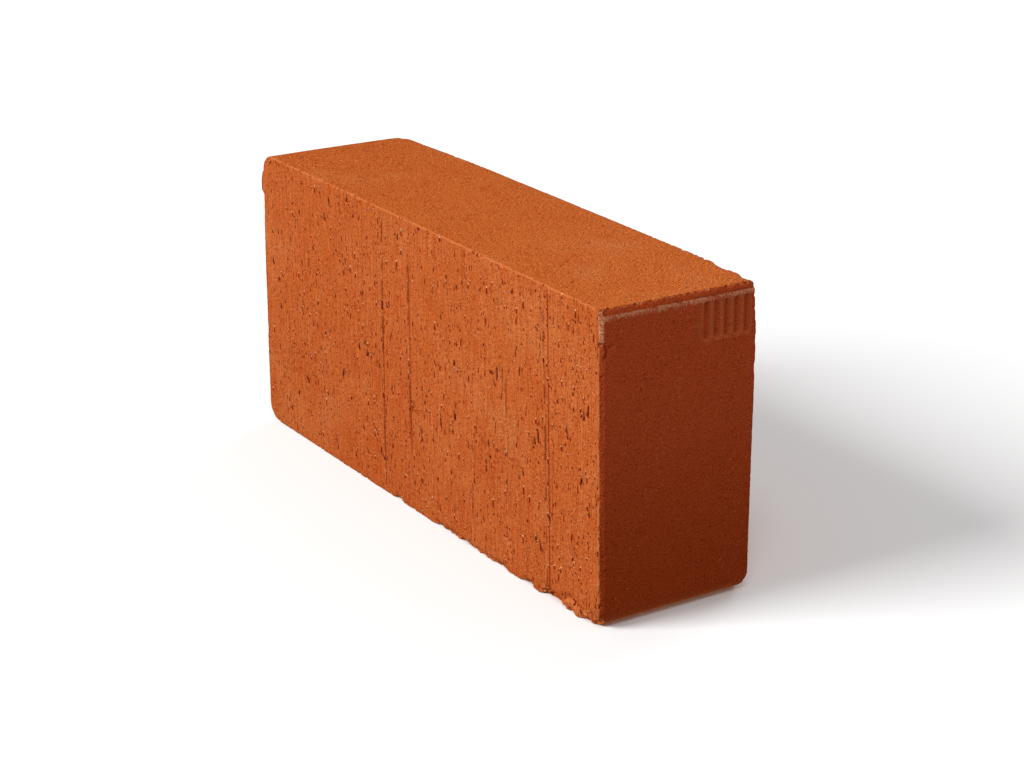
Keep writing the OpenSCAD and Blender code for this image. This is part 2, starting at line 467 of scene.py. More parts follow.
# Five plain upright flutes pressed below the band by the back edge of the marked end.
FLUTE_COUNT = 5
FLUTE_WIDTH = 2.0
FLUTE_PITCH = 4.2
FLUTE_HEIGHT = 14.0
FLUTE_DEPTH = 0.8
FLUTE_DROP = 1.6
FLUTE_MARGIN = 3.5
FLUTE_SHOULDER = 0.45
FLUTE_WALL = 0.72
FLUTE_FLOOR_START = 0.5
FLUTE_FLOOR_REACH = 0.6
FLUTE_RIM_PLACE = 0.35
FLUTE_RIM_REACH = 0.7
flute_top = high[2] - BAND_HEIGHT - FLUTE_DROP - FLUTE_WIDTH / 2
flute_foot = flute_top - FLUTE_HEIGHT + FLUTE_WIDTH
flute_floor = np.zeros_like(marked)
flute_rim = np.zeros_like(marked)
for count in range(FLUTE_COUNT):
    flute_y = high[1] - FLUTE_MARGIN - FLUTE_WIDTH / 2 - count * FLUTE_PITCH
    off_y = y_marks[:, None] - flute_y
    off_z = z_marks[None, :] - np.clip(z_marks, flute_foot, flute_top)[None, :]
    inside = FLUTE_WIDTH / 2 - np.hypot(off_y, off_z)
    marked += FLUTE_DEPTH * fade(-inside + FLUTE_SHOULDER / 2, FLUTE_WALL)
    flute_floor = np.maximum(flute_floor, fade(-inside + FLUTE_FLOOR_START, FLUTE_FLOOR_REACH))
    flute_rim = np.maximum(flute_rim, fade(np.abs(inside + FLUTE_RIM_PLACE), FLUTE_RIM_REACH))

# A flake of clay that the wire left on the plain end, near the top of its front edge.
FLAKE_TOP = 112.5
FLAKE_FOOT = 102.0
FLAKE_THICKNESS = 2.2
FLAKE_WIDTH = 0.8
FLAKE_EDGE = 1.8
FLAKE_FOOT_SLOPE = 6
FLAKE_TOP_SLOPE = 3.5
FLAKE_TOP_CURVE = 0.7
FLAKE_SEAT = 0.1
FLAKE_FULLNESS = (0.85, 0.2)
flake_up = np.clip((z_marks[None, :] - FLAKE_FOOT) / (FLAKE_TOP - FLAKE_FOOT), 0, 1)
flake_head = np.clip(FLAKE_TOP_SLOPE * (1 - flake_up), 0, 1) ** FLAKE_TOP_CURVE
flake = np.clip(FLAKE_FOOT_SLOPE * flake_up, 0, 1) * flake_head
flake = flake * fade(np.maximum(front_distance - FLAKE_WIDTH, 0), FLAKE_EDGE)
usual, spread = FLAKE_FULLNESS
flake *= usual + spread * clay_noise(y_marks, z_marks, 1.5, 2.5, 480)
plain += FLAKE_SEAT - FLAKE_THICKNESS * flake

# Each face's relief acts on its own face in full, and fades out round the edge.
EDGE_FADE = 3.5
x, y, z = x_marks[at_x].copy(), y_marks[at_y].copy(), z_marks[at_z].copy()
away_front, away_back = y - low[1], high[1] - y
away_under, away_top = z - low[2], high[2] - z
away_plain, away_marked = x - low[0], high[0] - x


def die_corner(x, z, corner_x, corner_z, radius):
    """Rounds one corner of the die's opening; returns the points, and how far in they lie."""
    centre_x = corner_x - math.copysign(1, corner_x) * radius
    centre_z = corner_z + (radius if corner_z == low[2] else -radius)
    off_x, off_z = x - centre_x, z - centre_z
    inside = (off_x * (corner_x - centre_x) > 0) & (off_z * (corner_z - centre_z) > 0)
    slant = np.maximum(np.hypot(off_x, off_z), 1e-9)
    reach = np.maximum(np.abs(off_x), np.abs(off_z))
    new_x = np.where(inside, centre_x + off_x * reach / slant, x)
    new_z = np.where(inside, centre_z + off_z * reach / slant, z)
    return new_x, new_z, inside, radius - reach, off_x / slant, off_z / slant


PLAIN_FOOT_RADIUS = 8.0
MARKED_FOOT_RADIUS = 7.2
PLAIN_HEAD_RADIUS_FRONT = 7.4
PLAIN_HEAD_RADIUS_BACK = 8.0
MARKED_HEAD_RADIUS = 0.5
plain_head_radius = np.interp(y, (low[1], high[1]), (PLAIN_HEAD_RADIUS_FRONT, PLAIN_HEAD_RADIUS_BACK))
inward = np.minimum(np.minimum(away_plain, away_marked), np.minimum(away_under, away_top))
nearest_end = np.minimum(away_plain, away_marked) < np.minimum(away_under, away_top)
out_x = np.where(nearest_end, np.sign(x), 0.0)
out_z = np.where(nearest_end, 0.0, np.where(away_top < away_under, 1.0, -1.0))
for corner_x, corner_z, radius in (
    (low[0], low[2], PLAIN_FOOT_RADIUS),
    (high[0], low[2], MARKED_FOOT_RADIUS),
    (low[0], high[2], plain_head_radius),
    (high[0], high[2], MARKED_HEAD_RADIUS),
):
    x, z, inside, depth_in, side_x, side_z = die_corner(x, z, corner_x, corner_z, radius)
    inward = np.where(inside, depth_in, inward)
    out_x = np.where(inside, side_x, out_x)
    out_z = np.where(inside, side_z, out_z)


# The edges of the wire-cut faces are worn round, and chipped here and there.
ARRIS = 0.4
ARRIS_WAVE = 0.35
ARRIS_GRAIN = 0.3
CHIP_SIZE = (0.6, 2.0)
EDGE_CHIP_DEPTH = (0.3, 1.1)
END_CHIP_DEPTH = (0.3, 0.9)
CHIP_STRETCH = 2


def worn_edges(seed, chips, chip_count):
    """The radius worn on the rim of one wire-cut face, for every x and z mark."""
    random = np.random.default_rng([BRICK_SEED, seed])
    radius = ARRIS * (1 + ARRIS_WAVE * clay_noise(x_marks, z_marks, 4, 4, seed + 1))
    places = [(random.uniform(low[0], high[0]), random.choice([low[2], high[2]]),
               random.uniform(*CHIP_SIZE), random.uniform(*EDGE_CHIP_DEPTH)) for _ in range(chip_count)]
    places += [(random.choice([low[0], high[0]]), random.uniform(low[2], high[2]),
                random.uniform(*CHIP_SIZE), random.uniform(*END_CHIP_DEPTH)) for _ in range(chip_count // 2)]
    for chip_x, chip_z, size, extra in places + chips:
        off_x = (x_marks[:, None] - chip_x) / size
        off = np.hypot(off_x, (z_marks[None, :] - chip_z) / (size + CHIP_STRETCH))
        radius = np.maximum(radius, ARRIS + extra * np.clip(1 - off ** 2, 0, 1))
    return radius * (1 + ARRIS_GRAIN * clay_noise(x_marks, z_marks, 1.2, 1.2, seed + 2))


# The larger chips: the x and z of each, its size, and how much deeper than the edge it is worn.
FRONT_CHIPS = [(125, 104, 1.8, 1.2), (125, 112, 2.0, 0.4), (125, 60, 1.2, 0.6)]
BACK_CHIPS = [
    (108, 120, 9, 2.6), (121, 120, 9, 4.0), (126, 112, 9, 1.9), (122, 0, 6, 1.8), (-126, 121, 13, 6.5),
    (82, 120, 1.2, 1.2), (95, 120, 1.2, 1.4),
]
front_rim = worn_edges(500, FRONT_CHIPS, chip_count=22)
back_rim = worn_edges(520, BACK_CHIPS, chip_count=18)
by_front = away_front < away_back
rim = np.where(by_front, front_rim[at_x, at_z], back_rim[at_x, at_z])
from_wire = np.minimum(away_front, away_back)
worn = (inward < rim) & (from_wire < rim)
short_in, short_wire = np.maximum(rim - inward, 0), np.maximum(rim - from_wire, 0)
slant = np.maximum(np.hypot(short_in, short_wire), 1e-9)
reach = np.maximum(short_in, short_wire)
move_in = np.where(worn, (rim - short_in * reach / slant) - inward, 0)
move_wire = np.where(worn, (rim - short_wire * reach / slant) - from_wire, 0)
x = x - out_x * move_in
z = z - out_z * move_in
y = y + np.where(by_front, move_wire, -move_wire)

# Press every relief into the block, then put the whole block out of true.
LIFT_REACH = 3.0
lift_front = front_lift[at_x] * fade(away_front, LIFT_REACH)
lift_back = back_lift[at_x] * fade(away_back, LIFT_REACH)
press_plain = plain[at_y, at_z] * fade(away_plain, EDGE_FADE)
press_marked = marked[at_y, at_z] * fade(away_marked, EDGE_FADE)
y = y + front[at_x, at_z] * fade(away_front, EDGE_FADE) - back[at_x, at_z] * fade(away_back, EDGE_FADE)
z = z - top[at_x, at_y] * fade(away_top, EDGE_FADE)
z = z + np.maximum(under[at_x, at_y], lift_front + lift_back) * fade(away_under, EDGE_FADE)
x = x + press_plain - press_marked
x = x - marked_lean[at_y, at_z] * away_plain / length + plain_lean[at_y, at_z] * away_marked / length
z = z - sag[at_x, at_y] * (z - low[2]) / height

# What the finish reads off each point: how deep in a pit or crack it lies, for painted shade in it; where a
# torn crest or flute rim gets a painted highlight; and whether a wire cut it.
ON_FACE = 0.01
ON_MARKED_FACE = 0.3
FULL_HOLLOW = 0.8
CREASE_SHADE = 0.5
NICK_SHADE = 0.8
SMEAR_CRACK_SHADE = 0.6
FLUTE_SHADE = 0.3
LINE_SHADE = 0.66
wire_cut_skin = from_wire < ON_FACE
front_shade = np.maximum(front_pits, front_lines * LINE_SHADE)
back_shade = np.maximum(back_pits, back_lines * LINE_SHADE)
hollow_shade = np.where(by_front, front_shade[at_x, at_z], back_shade[at_x, at_z])
hollow_shade = np.clip(hollow_shade / FULL_HOLLOW, 0, 1) * wire_cut_skin
band_marks = np.maximum(CREASE_SHADE * crease, NICK_SHADE * head_nicks)
lower_marks = np.maximum(SMEAR_CRACK_SHADE * smear_crack, FLUTE_SHADE * flute_floor)
on_marked_face = away_marked < ON_MARKED_FACE
end_hollow = np.maximum(band_marks, lower_marks)[at_y, at_z] * on_marked_face
hollow_shade = np.maximum(hollow_shade, end_hollow)
# Painted highlight on the crests of the torn lumps and on the rims of the flutes.
painted_highlight = np.where(by_front, front_crests[at_x, at_z], back_crests[at_x, at_z]) * wire_cut_skin
painted_highlight = np.maximum(painted_highlight, flute_rim[at_y, at_z] * on_marked_face)

mesh = bpy.data.meshes.new("clay_brick")
mesh.vertices.add(len(x))
places = np.clip(np.stack([x, y, z], axis=-1), low, high)
mesh.vertices.foreach_set("co", (places * MM).ravel())
mesh.loops.add(quads.size)
mesh.loops.foreach_set("vertex_index", quads.ravel())
mesh.polygons.add(len(quads))
mesh.polygons.foreach_set("loop_start", np.arange(0, quads.size, 4, dtype=np.int32))
mesh.update(calc_edges=True)
for name, values in (("hollow_shade", hollow_shade), ("painted_highlight", painted_highlight), ("wire_cut", wire_cut_skin)):
    mesh.attributes.new(name, "FLOAT", "POINT").data.foreach_set("value", values.astype(np.float32))
brick = bpy.data.objects.new("clay_brick", mesh)
bpy.context.scene.collection.objects.link(brick)

# The block has more cells than a part needs, so the flat ones are merged and the marks kept.
BRICK_TRIANGLES = 194000
SHARP_TURN = 42
thin = brick.modifiers.new("merge_flat_cells", "DECIMATE")
thin.ratio = BRICK_TRIANGLES / (2 * len(quads))
depsgraph = bpy.context.evaluated_depsgraph_get()
merged = bpy.data.meshes.new_from_object(brick.evaluated_get(depsgraph))
brick.modifiers.clear()
brick.data = merged
merged.name = "clay_brick"
bpy.data.meshes.remove(mesh)
merged.shade_smooth()
merged.set_sharp_from_angle(angle=math.radians(SHARP_TURN))

# The fired clay. Every pattern is laid out in millimetres from the block's own frame: the wires'
# stripes run down the large faces, and the die's strokes run across the sides and the ends.
fired_clay = bpy.data.materials.new("fired_clay")
fired_clay.use_nodes = True
nodes, links = fired_clay.node_tree.nodes, fired_clay.node_tree.links
shader = nodes["Principled BSDF"]


def fill(socket, value):
    """Gives a socket a number, a colour or another node's output."""
    if isinstance(value, bpy.types.NodeSocket):
        links.new(value, socket)
    elif isinstance(value, tuple):
        socket.default_value = value[:len(socket.default_value)]
    else:
        socket.default_value = value


def maths(operation, *values):
    """One sum or other calculation on numbers or outputs."""
    node = nodes.new("ShaderNodeMath")
    node.operation = operation
    for socket, value in zip(node.inputs, values):
        fill(socket, value)
    return node.outputs[0]


def product(first, *others):
    """All the outputs multiplied together."""
    for other in others:
        first = maths("MULTIPLY", first, other)
    return first


def weighted(*pairs):
    """The sum of outputs, each times its weight."""
    total = 0.0
    for value, weight in pairs:
        total = maths("MULTIPLY_ADD", value, weight, total)
    return total


def between(value, start, end, low_out=0.0, high_out=1.0):
    """Runs smoothly from one output to the other as the value goes from start to end."""
    node = nodes.new("ShaderNodeMapRange")
    node.interpolation_type = "SMOOTHSTEP"
    for name, number in (("Value", value), ("From Min", start), ("From Max", end),
                         ("To Min", low_out), ("To Max", high_out)):
        fill(node.inputs[name], number)
    return node.outputs["Result"]


def vector(operation, first, second):
    """One calculation on two vectors."""
    node = nodes.new("ShaderNodeVectorMath")
    node.operation = operation
    fill(node.inputs[0], first)
    fill(node.inputs[1], second)
    return node.outputs["Vector"]


def axes(value):
    """The x, y and z of a vector."""
    node = nodes.new("ShaderNodeSeparateXYZ")
    links.new(value, node.inputs[0])
    return node.outputs


def lumps(size, detail=2.0, shift=0.0, place=None):
    """Cloudy noise around one half whose lumps measure about the given x, y and z sizes."""
    node = nodes.new("ShaderNodeTexNoise")
    scaled = vector("DIVIDE", place or spot, size)
    fill(node.inputs["Vector"], vector("ADD", scaled, (shift, shift * 1.7, shift * 0.6)))
    node.inputs["Scale"].default_value = 1.0
    node.inputs["Detail"].default_value = detail
    return node.outputs["Fac"]


def grains(size, share, radius, shift=0.0):
    """Round dots: the given share of cells of the given size hold one, of about the given radius."""
    least, spread = radius * 0.5, radius * 0.8
    node = nodes.new("ShaderNodeTexVoronoi")
    cell = vector("DIVIDE", spot, (size, size, size))
    fill(node.inputs["Vector"], vector("ADD", cell, (shift, shift * 1.3, shift * 0.7)))
    node.inputs["Scale"].default_value = 1.0
    random = axes(node.outputs["Color"])
    dot_radius = maths("MULTIPLY_ADD", random[1], spread, least)
    away = maths("MULTIPLY", node.outputs["Distance"], size)
    dot = between(maths("DIVIDE", away, dot_radius), 1.0, 0.6)
    return product(dot, maths("LESS_THAN", random[0], share))


def tint(amount, colour, other):
    """Blends from a colour to another one by the amount."""
    node = nodes.new("ShaderNodeMix")
    node.data_type = "RGBA"
    fill(node.inputs[0], amount)
    fill(node.inputs[6], colour)
    fill(node.inputs[7], other)
    return node.outputs[2]


def stained(colour, stain, amount, strength):
    """Blends from a colour to a stain by the amount, and by the stain's own strength."""
    return tint(maths("MULTIPLY", amount, strength), colour, stain)


def shaded(colour, amount):
    """Makes a colour lighter or darker by a factor."""
    node = nodes.new("ShaderNodeVectorMath")
    node.operation = "SCALE"
    fill(node.inputs[0], colour)
    fill(node.inputs["Scale"], amount)
    return node.outputs["Vector"]


def deepened(colour, amount):
    """Makes a clay colour lighter or darker; the darker it is, the redder it is too."""
    green_power, blue_power = 2.0, 3.2
    node = nodes.new("ShaderNodeCombineXYZ")
    fill(node.inputs[0], amount)
    fill(node.inputs[1], maths("POWER", amount, green_power))
    fill(node.inputs[2], maths("POWER", amount, blue_power))
    return vector("MULTIPLY", colour, node.outputs[0])


def skin(name):
    """One of the readings taken off the block's points."""
    node = nodes.new("ShaderNodeAttribute")
    node.attribute_name = name
    return node.outputs["Fac"]


place_node = nodes.new("ShaderNodeTexCoord")
spot = vector("MULTIPLY", place_node.outputs["Object"], (1 / MM, 1 / MM, 1 / MM))
spot_x, spot_y, spot_z = axes(spot)
facing = axes(place_node.outputs["Normal"])
on_wire_face = skin("wire_cut")
off_wire_face = maths("SUBTRACT", 1.0, on_wire_face)

# The ends are the faces that look along x. The flutes' walls don't, so the marked end is also all
# that lies past the flutes' floors, above the round foot and below the band.
END_MARKS_X = float(high[0]) - 5.6
END_MARKS_HEAD = float(high[2]) - BAND_HEIGHT
END_MARKS_FOOT = MARKED_FOOT_RADIUS + 1.8
on_end = product(between(maths("ABSOLUTE", facing[0]), start=0.5, end=0.85), off_wire_face)
in_end_marks = product(
    between(spot_x, start=END_MARKS_X, end=END_MARKS_X + 0.4),
    between(facing[0], start=0.02, end=0.1),
    between(spot_z, start=END_MARKS_HEAD + 0.2, end=END_MARKS_HEAD - 0.2),
    between(spot_z, start=END_MARKS_FOOT, end=END_MARKS_FOOT + 3.0))
on_end = maths("MAXIMUM", on_end, product(in_end_marks, off_wire_face))
on_marked_end = product(on_end, maths("GREATER_THAN", spot_x, 0.0))
# Painted shade: the deeper a point lies in a pit, crack, crease or flute floor, the darker it is painted.
hollow_shade_mask = between(skin("hollow_shade"), start=0.16, end=0.6)

# On the wire-cut faces each hard grain that the wire caught left a slit below it.
flat = nodes.new("ShaderNodeCombineXYZ")
BACK_FACE_SHIFT = 431.0
LONE_GRAIN = 0.79
CROWDING_SPREAD = 2.4
CROWDING_OFFSET = -0.2
PALEST_SLIT = 0.45
LEAST_LENGTH, LENGTH_SPREAD = 0.4, 1.2
LEAST_WIDTH, WIDTH_SPREAD = 0.6, 0.8
SLIT_TAPER = 0.4
GRAIN_SEAT = 1.05
fill(flat.inputs[0], maths("MULTIPLY_ADD", maths("GREATER_THAN", spot_y, 0.0), BACK_FACE_SHIFT, spot_x))
fill(flat.inputs[1], spot_z)
crowding = lumps((26.0, 26.0, 40.0), shift=17.0)


def dragged_grains(cell, share, half_width, half_length, shift):
    """Slits on the wire-cut faces, narrow above and wide below, and the grains at their heads."""
    node = nodes.new("ShaderNodeTexVoronoi")
    node.voronoi_dimensions = "2D"
    place = vector("DIVIDE", flat.outputs[0], (cell[0], cell[1], 1.0))
    place = vector("ADD", place, (shift, shift * 0.7, 0.0))
    fill(node.inputs["Vector"], place)
    node.inputs["Scale"].default_value = 1.0
    random = axes(node.outputs["Color"])
    off = vector("SUBTRACT", place, node.outputs["Position"])
    off = axes(vector("MULTIPLY", off, (cell[0], cell[1], 0.0)))
    slit_length = maths("MULTIPLY_ADD", random[1], half_length * LENGTH_SPREAD, half_length * LEAST_LENGTH)
    slit_width = maths("MULTIPLY_ADD", random[0], half_width * WIDTH_SPREAD, half_width * LEAST_WIDTH)
    along = maths("DIVIDE", off[1], slit_length)
    across = product(maths("DIVIDE", off[0], slit_width), maths("MULTIPLY_ADD", along, SLIT_TAPER, 1.0))
    away = maths("SQRT", maths("ADD", product(along, along), product(across, across)))
    crowded_share = product(share, maths("MULTIPLY_ADD", crowding, CROWDING_SPREAD, CROWDING_OFFSET))
    chosen = maths("LESS_THAN", random[2], crowded_share)
    darkness = between(random[2], 0.0, share * 1.6, 1.0, PALEST_SLIT)
    slit = product(between(away, 1.0, 0.6), chosen, on_wire_face, darkness)
    above = maths("SUBTRACT", off[1], maths("MULTIPLY", slit_length, GRAIN_SEAT))
    grain_off = maths("SQRT", maths("ADD", product(off[0], off[0]), product(above, above)))
    grain = product(between(grain_off, half_width * 1.2, half_width * 0.5), chosen, on_wire_face,
                    maths("GREATER_THAN", random[0], LONE_GRAIN))
    return slit, grain


long_slits, long_grains = dragged_grains(
    cell=(4.0, 6.5), share=0.33, half_width=0.40, half_length=1.20, shift=3.3)
short_slits, short_grains = dragged_grains(
    cell=(1.9, 3.6), share=0.29, half_width=0.28, half_length=0.70, shift=8.1)
nicks, _ = dragged_grains(
    cell=(1.0, 1.7), share=0.34, half_width=0.18, half_length=0.36, shift=5.2)

# Shade: broad clouds, then patches, stripes or strokes, and grain.
STROKE_TURN = -22
clouds = lumps((38.0, 38.0, 30.0), shift=3.1)
patches = lumps((6.0, 6.0, 8.0), detail=3.0, shift=7.7)
stripes = lumps((0.42, 4.0, 17.0), shift=11.3)
scratches = between(lumps((0.5, 4.0, 60.0), detail=1.0, shift=33.0), start=0.66, end=0.74)
scratches = product(scratches, between(patches, start=0.36, end=0.50), on_wire_face)
turned = nodes.new("ShaderNodeMapping")
turned.inputs["Rotation"].default_value = (0, 0, math.radians(STROKE_TURN))
links.new(spot, turned.inputs["Vector"])
strokes = lumps((0.65, 2.2, 0.65), shift=5.9, place=turned.outputs["Vector"])
coarse_grain = lumps((0.75, 0.75, 1.1), detail=1.0, shift=1.3)
fine_grain = lumps((0.42, 0.42, 0.48), detail=0.0, shift=9.1)

# How much each of them counts. Noise lies around one half, which is taken off again.
WIRE_WEIGHTS = (0.70, 0.20, 0.65)
DIE_WEIGHTS = (0.62, 0.45, 1.30)
BROAD_WEIGHTS = (0.12, 0.10)
NOISE_MEAN = 0.5
END_CONTRAST_LOSS = -0.56
DARKEST = 0.35
wire_shade = weighted(*zip((stripes, coarse_grain, fine_grain), WIRE_WEIGHTS))
die_shade = weighted(*zip((strokes, coarse_grain, fine_grain), DIE_WEIGHTS))
broad_shade = weighted(*zip((clouds, patches), BROAD_WEIGHTS))
shade = weighted((wire_shade, on_wire_face), (die_shade, off_wire_face), (broad_shade, 1.0))
mean_shade = weighted(
    (on_wire_face, NOISE_MEAN * sum(WIRE_WEIGHTS)),
    (off_wire_face, NOISE_MEAN * sum(DIE_WEIGHTS)),
    (NOISE_MEAN * sum(BROAD_WEIGHTS), 1.0))
# Painted shade: every face is darker towards its foot, and a little darker towards the plain end.
painted_foot_shade = between(spot_z, start=0.0, end=80.0, low_out=0.94, high_out=1.005)
painted_plain_end_shade = between(spot_x, start=float(low[0]), end=40.0, low_out=0.965, high_out=1.0)
contrast = maths("MULTIPLY_ADD", on_end, END_CONTRAST_LOSS, 1.0)
brightness = maths("MULTIPLY_ADD", maths("SUBTRACT", shade, mean_shade), contrast, 1.0)
brightness = product(maths("MAXIMUM", brightness, DARKEST), painted_foot_shade, painted_plain_end_shade)

# The clay itself is an orange red, with tan clouds and red patches in it.
CLAY = (0.464, 0.1015, 0.0222, 1)
SIDE_CLAY = (0.476, 0.1020, 0.0163, 1)
TAN_CLAY = (0.49, 0.150, 0.042, 1)
TAN_STRENGTH = 0.30
RED_CLAY = (0.44, 0.074, 0.010, 1)
RED_STRENGTH = 0.4
colour = tint(off_wire_face, CLAY, SIDE_CLAY)
colour = tint(between(clouds, start=0.52, end=0.72, high_out=TAN_STRENGTH), colour, TAN_CLAY)
colour = tint(between(patches, start=0.46, end=0.28, high_out=RED_STRENGTH), colour, RED_CLAY)

# A pale bloom from the kiln low down by the plain end.
BLOOM_PLACE = (-112.0, float(low[1]), 28.0)
BLOOM_REACH = (17.0, 12.0, 22.0)
bloom_off = vector("DIVIDE", vector("SUBTRACT", spot, BLOOM_PLACE), BLOOM_REACH)
bloom_axes = axes(vector("MULTIPLY", bloom_off, bloom_off))
bloom_away = weighted(*[(axis, 1.0) for axis in bloom_axes])
bloom = product(between(bloom_away, start=1.3, end=0.1), between(patches, start=0.38, end=0.62))
colour = stained(colour, TAN_CLAY, bloom, strength=0.15)

# Painted shade: the ends are painted a deeper red than the rest, and darker towards their feet.
HEAD_END_SHADE_CLAY = (0.533, 0.0750, 0.0188, 1)
FOOT_END_SHADE_CLAY = (0.390, 0.0515, 0.0096, 1)
end_shade_colour = tint(between(spot_z, start=0.0, end=100.0), FOOT_END_SHADE_CLAY, HEAD_END_SHADE_CLAY)
colour = tint(on_end, colour, end_shade_colour)
colour = deepened(colour, brightness)

# Painted shade darkens the strip down the front edge of the marked end and the smear on it; painted light
# brightens the rounded foot of the marked end where it faces down.
FOOT_CORNER_PAINTED_LIGHT = 0.38
STRIP_PAINTED_SHADE = -0.25
SMEAR_PAINTED_SHADE = -0.12
front_y = float(low[1])
on_strip = product(on_marked_end, between(spot_y, start=front_y + 3.2, end=front_y + 1.9))
on_foot_corner = product(
    between(facing[2], start=-0.05, end=-0.7),
    between(spot_z, start=8.0, end=6.0),
    between(spot_x, start=110.0, end=116.0))
on_smear = product(
    on_strip,
    between(spot_z, start=SMEAR_Z + 3.4, end=SMEAR_Z + 2.4),
    between(spot_z, start=SMEAR_Z - 4.1, end=SMEAR_Z - 3.1))
colour = deepened(colour, weighted((on_foot_corner, FOOT_CORNER_PAINTED_LIGHT), (1.0, 1.0)))
colour = shaded(colour, weighted((on_strip, STRIP_PAINTED_SHADE), (on_smear, SMEAR_PAINTED_SHADE), (1.0, 1.0)))

# The clay is paler along the edges of the upper side, and worn pale along the front edge of the marked end.
PALE_EDGE_CLAY = (0.56, 0.165, 0.052, 1)
on_bevel = product(facing[2], maths("ABSOLUTE", facing[1]))
pale_top_edge = product(between(on_bevel, start=0.10, end=0.35), between(spot_z, start=115.0, end=117.0))
top_edge_patches = lumps((5.0, 0.8, 0.8), detail=3.0, shift=13.0)
pale_top_edge = product(pale_top_edge, between(top_edge_patches, start=0.30, end=0.50))
colour = stained(colour, PALE_EDGE_CLAY, pale_top_edge, strength=0.8)
on_arris = between(product(facing[0], maths("ABSOLUTE", facing[1])), start=0.15, end=0.35)
by_front_edge = between(spot_y, start=front_y + 0.8, end=front_y + 0.5)
end_wear = lumps((0.8, 0.8, 4.0), detail=3.0, shift=15.0)
worn_arris = product(on_arris, by_front_edge, between(end_wear, start=0.34, end=0.50))
colour = tint(worn_arris, colour, PALE_EDGE_CLAY)

# Painted shade darkens scratches, the main drag lines, slits, pits and the other hollows; torn crests and
# flute rims get a painted highlight.
SLIT_SHADE = (0.21, 0.007, 0.0004, 1)
PIT_SHADE = (0.19, 0.009, 0.0005, 1)
HIGHLIGHT_CLAY = (0.68, 0.20, 0.068, 1)
DRAG_LINES = 3
LINE_TAPER = 5.0
LINE_HALF_WIDTH = 0.46
LINE_CORE = 0.2
colour = stained(colour, SLIT_SHADE, scratches, strength=0.36)
drag_lines = 0.0
for top_x, foot_x, top_z, foot_z, _ in FRONT_GROOVES[:DRAG_LINES]:
    line_lean = (top_x - foot_x) / (top_z - foot_z)
    line_x = maths("MULTIPLY_ADD", spot_z, line_lean, foot_x - foot_z * line_lean)
    line_away = maths("ABSOLUTE", maths("SUBTRACT", spot_x, line_x))
    line_ends = product(
        between(spot_z, start=foot_z, end=foot_z + LINE_TAPER),
        between(spot_z, start=top_z, end=top_z - LINE_TAPER))
    line = product(between(line_away, start=LINE_HALF_WIDTH, end=LINE_CORE), line_ends)
    drag_lines = maths("MAXIMUM", drag_lines, line)
on_front = maths("LESS_THAN", spot_y, 0.0)
line_grain = between(coarse_grain, start=0.30, end=0.55, low_out=0.45, high_out=0.85)
drag_lines = product(drag_lines, on_front, on_wire_face, line_grain)
colour = tint(drag_lines, colour, SLIT_SHADE)
colour = stained(colour, SLIT_SHADE, nicks, strength=0.85)
colour = tint(maths("MAXIMUM", short_slits, long_slits), colour, SLIT_SHADE)
colour = stained(colour, HIGHLIGHT_CLAY, skin("painted_highlight"), strength=0.4)
colour = tint(hollow_shade_mask, colour, PIT_SHADE)

# The flake on the plain end gets painted shade.
FLAKE_SHADE = (0.19, 0.040, 0.010, 1)
FLAKE_X = float(low[0]) + 2.1
on_flake = product(
    between(spot_x, start=FLAKE_X, end=FLAKE_X - 0.5),
    between(spot_y, start=front_y + 2.9, end=front_y + 2.3),
    between(spot_z, start=FLAKE_FOOT - 0.7, end=FLAKE_FOOT),
    between(spot_z, start=FLAKE_TOP + 0.7, end=FLAKE_TOP - 0.1))
colour = stained(colour, FLAKE_SHADE, on_flake, strength=0.85)

# Pale grains of quartz, and painted shade in the small pits and shallow dimples on the faces that the die
# formed.
QUARTZ = (0.83, 0.49, 0.29, 1)
END_DIMPLE_LOSS = -0.7
colour = stained(colour, QUARTZ, long_grains, strength=0.80)
colour = stained(colour, QUARTZ, short_grains, strength=0.75)
grain_strength = weighted((on_wire_face, 0.45), (on_end, -0.15), (0.40, 1.0))
pale_grains = product(grains(size=1.5, share=0.18, radius=0.27, shift=6.0), grain_strength)
colour = tint(pale_grains, colour, QUARTZ)
die_dots = product(grains(size=1.7, share=0.36, radius=0.30, shift=4.0), off_wire_face)
colour = stained(colour, SLIT_SHADE, die_dots, strength=0.65)
dimples = grains(size=2.6, share=0.40, radius=0.60, shift=14.0)
dimples = product(dimples, off_wire_face, maths("MULTIPLY_ADD", on_end, END_DIMPLE_LOSS, 1.0))
colour = stained(colour, SLIT_SHADE, dimples, strength=0.26)

# Pale scuffs on the ridge below the band, on the edge above it, down the front strip and along
# the foot of the marked end.
SCUFF = (0.84, 0.37, 0.20, 1)
SCUFF_STRENGTH = 0.85
FOOT_SCUFF_STRENGTH = 0.6
RIDGE_WIDTH = 0.5
ridge_line = float(high[2] - TOP_SAG - BAND_HEIGHT)
below_ridge = maths("SUBTRACT", ridge_line + RIDGE_WIDTH, spot_z)
bristles = lumps((9.0, 0.36, 1.3), detail=3.0, shift=21.0)
blotches = lumps((9.0, 6.0, 9.0), shift=24.0)
near_ridge = product(between(below_ridge, start=-0.2, end=0.3), between(below_ridge, start=4.4, end=0.3))
scuff_level = weighted((near_ridge, 0.60), (bristles, 1.7), (blotches, 0.9))
ridge_scuff = product(between(scuff_level, start=1.62, end=1.90), near_ridge)
from_front = maths("ADD", spot_y, -front_y)
near_strip = product(between(from_front, start=2.2, end=1.3), between(spot_z, start=106.0, end=108.0))
strip_level = weighted((coarse_grain, 1.0), (blotches, 0.6))
strip_scuff = product(near_strip, between(strip_level, start=0.66, end=0.86))
near_head = between(spot_z, start=118.4, end=119.2)
head_level = lumps((9.0, 1.1, 0.7), detail=3.0, shift=27.0)
head_scuff = product(near_head, between(head_level, start=0.52, end=0.62))
